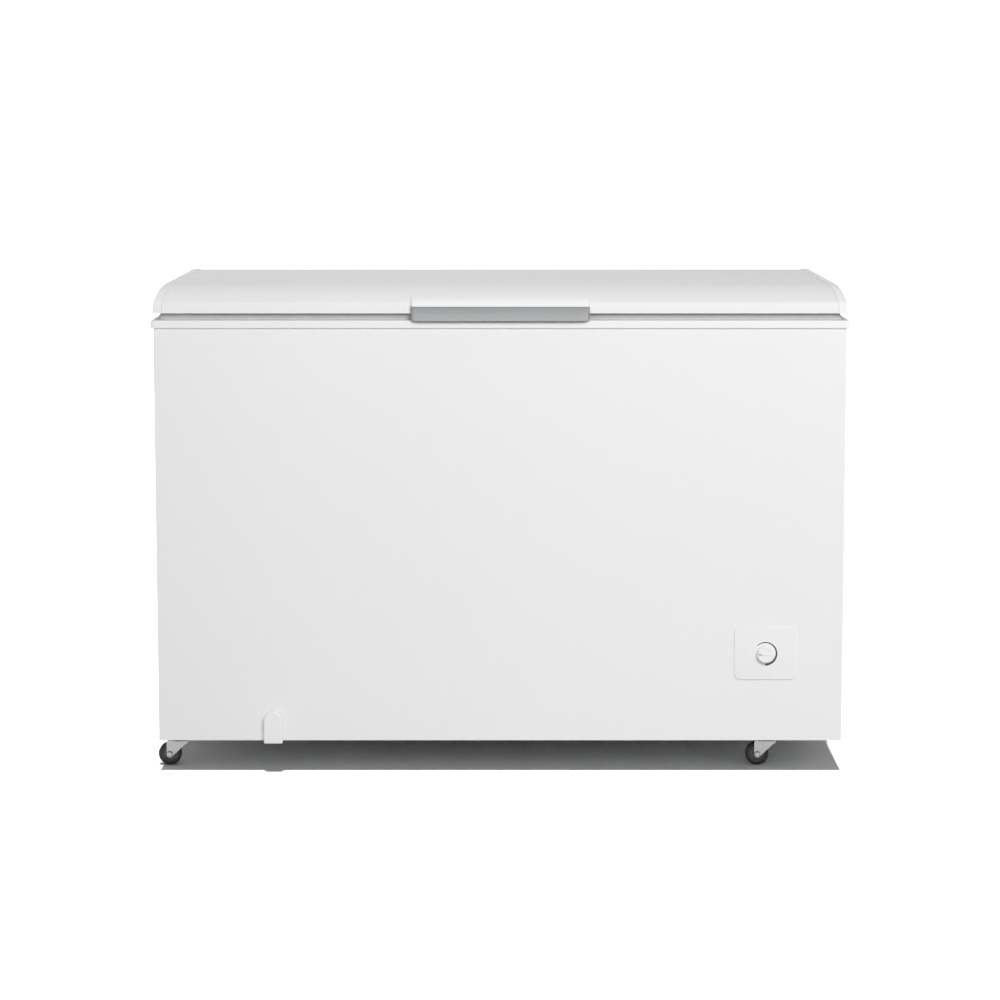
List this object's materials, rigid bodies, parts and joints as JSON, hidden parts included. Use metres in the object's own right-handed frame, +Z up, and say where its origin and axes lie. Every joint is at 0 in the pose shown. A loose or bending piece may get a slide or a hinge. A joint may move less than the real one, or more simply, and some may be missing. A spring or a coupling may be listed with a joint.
{
  "type": "chest freezer",
  "caption": "White horizontal chest freezer on swivel castors: foamed steel cabinet, hinged lid with a front grip, low thermostat dial and front drain.",
  "frame": {"origin": "on the floor under the middle of the freezer's overall box", "axes": "+X to the right as seen from the front, along the freezer's length; +Y from the front to the back; +Z up"},
  "size_m": [1.333, 0.7, 0.9342],
  "materials": {
    "white_paint": "semi-gloss white enamel on steel sheet",
    "white_plastic": "satin white moulding",
    "grey_plastic": "silver-grey satin moulding",
    "gasket_grey": "soft grey magnetic seal",
    "liner_aluminium": "white pre-coated embossed aluminium",
    "galvanised_steel": "galvanised sheet",
    "zinc_plate": "bright zinc-plated pressings",
    "foam": "rigid polyurethane foam",
    "copper": "drawn copper tube",
    "compressor_black": "black enamel",
    "black_plastic": "matte black moulding",
    "black_rubber": "hard black rubber"
  },
  "bodies": {
    "cabinet": {"base_pan": "galvanised_steel", "castor_plate_front_left": "zinc_plate", "castor_plate_front_right": "zinc_plate", "castor_plate_rear_left": "zinc_plate", "castor_plate_rear_right": "zinc_plate", "collar_frame": "white_plastic", "compressor": "compressor_black", "compressor_grommet_front_left": "black_rubber", "compressor_grommet_front_right": "black_rubber", "compressor_grommet_rear_left": "black_rubber", "compressor_grommet_rear_right": "black_rubber", "compressor_tray": "galvanised_steel", "condenser_coil": "galvanised_steel", "control_plate": "white_plastic", "cord_gland": "black_plastic", "discharge_pipe": "copper", "drain_tube": "white_plastic", "evaporator_coil": "copper", "filter_drier": "copper", "foam_insulation": "foam", "hinge_body_bracket_left": "zinc_plate", "hinge_body_bracket_right": "zinc_plate", "hinge_pin_left": "zinc_plate", "hinge_pin_right": "zinc_plate", "inner_liner": "liner_aluminium", "outer_wrapper": "white_paint", "rear_cover": "galvanised_steel", "rear_panel": "galvanised_steel", "side_grille": "white_plastic", "suction_pipe": "copper", "terminal_cover": "black_plastic", "thermostat": "black_plastic", "thermostat_bulb_tube": "copper"},
    "lid": {"lid_skin": "white_paint", "lid_end_cap_left": "white_plastic", "lid_end_cap_right": "white_plastic", "lid_liner": "white_plastic", "lid_foam": "foam", "lid_gasket": "gasket_grey", "handle_body": "white_plastic", "handle_grip": "grey_plastic", "hinge_lid_bracket_left": "zinc_plate", "hinge_lid_bracket_right": "zinc_plate"},
    "knob": {"control_knob": "white_plastic", "thermostat_spindle": "zinc_plate"},
    "drain_cap": {"drain_cap": "white_plastic"},
    "drain_plug": {"drain_plug": "black_rubber"},
    "castor_swivel_front_left": {"castor_fork_front_left": "zinc_plate", "castor_axle_front_left": "zinc_plate"},
    "castor_wheel_front_left": {"castor_wheel_front_left": "black_rubber"},
    "castor_swivel_front_right": {"castor_fork_front_right": "zinc_plate", "castor_axle_front_right": "zinc_plate"},
    "castor_wheel_front_right": {"castor_wheel_front_right": "black_rubber"},
    "castor_swivel_rear_left": {"castor_fork_rear_left": "zinc_plate", "castor_axle_rear_left": "zinc_plate"},
    "castor_wheel_rear_left": {"castor_wheel_rear_left": "black_rubber"},
    "castor_swivel_rear_right": {"castor_fork_rear_right": "zinc_plate", "castor_axle_rear_right": "zinc_plate"},
    "castor_wheel_rear_right": {"castor_wheel_rear_right": "black_rubber"}
  },
  "joints": [
    {"name": "lid_hinge", "type": "hinge", "parent": "cabinet", "child": "lid", "pos_m": [0, 0.342, 0.88275], "axis": [-1, 0, 0], "range_deg": [0, 80]},
    {"name": "knob_turn", "type": "hinge", "parent": "cabinet", "child": "knob", "pos_m": [0.51, -0.34, 0.233], "axis": [0, 1, 0], "range_deg": [0, 270]},
    {"name": "drain_cap_pull", "type": "slide", "parent": "cabinet", "child": "drain_cap", "axis": [0, -1, 0], "range_m": [0, 0.03]},
    {"name": "drain_plug_pull", "type": "slide", "parent": "cabinet", "child": "drain_plug", "axis": [0, 0, 1], "range_m": [0, 0.05]},
    {"name": "castor_swivel_front_left", "type": "hinge", "parent": "cabinet", "child": "castor_swivel_front_left", "pos_m": [-0.628, -0.272, 0.05], "axis": [0, 0, 1], "continuous": true},
    {"name": "castor_roll_front_left", "type": "hinge", "parent": "castor_swivel_front_left", "child": "castor_wheel_front_left", "pos_m": [-0.6455, -0.272, 0.0225], "axis": [0, 1, 0], "continuous": true},
    {"name": "castor_swivel_front_right", "type": "hinge", "parent": "cabinet", "child": "castor_swivel_front_right", "pos_m": [0.519, -0.272, 0.05], "axis": [0, 0, 1], "continuous": true},
    {"name": "castor_roll_front_right", "type": "hinge", "parent": "castor_swivel_front_right", "child": "castor_wheel_front_right", "pos_m": [0.5015, -0.272, 0.0225], "axis": [0, 1, 0], "continuous": true},
    {"name": "castor_swivel_rear_left", "type": "hinge", "parent": "cabinet", "child": "castor_swivel_rear_left", "pos_m": [-0.628, 0.268, 0.05], "axis": [0, 0, 1], "continuous": true},
    {"name": "castor_roll_rear_left", "type": "hinge", "parent": "castor_swivel_rear_left", "child": "castor_wheel_rear_left", "pos_m": [-0.6455, 0.268, 0.0225], "axis": [0, 1, 0], "continuous": true},
    {"name": "castor_swivel_rear_right", "type": "hinge", "parent": "cabinet", "child": "castor_swivel_rear_right", "pos_m": [0.519, 0.268, 0.05], "axis": [0, 0, 1], "continuous": true},
    {"name": "castor_roll_rear_right", "type": "hinge", "parent": "castor_swivel_rear_right", "child": "castor_wheel_rear_right", "pos_m": [0.5015, 0.268, 0.0225], "axis": [0, 1, 0], "continuous": true}
  ]
}
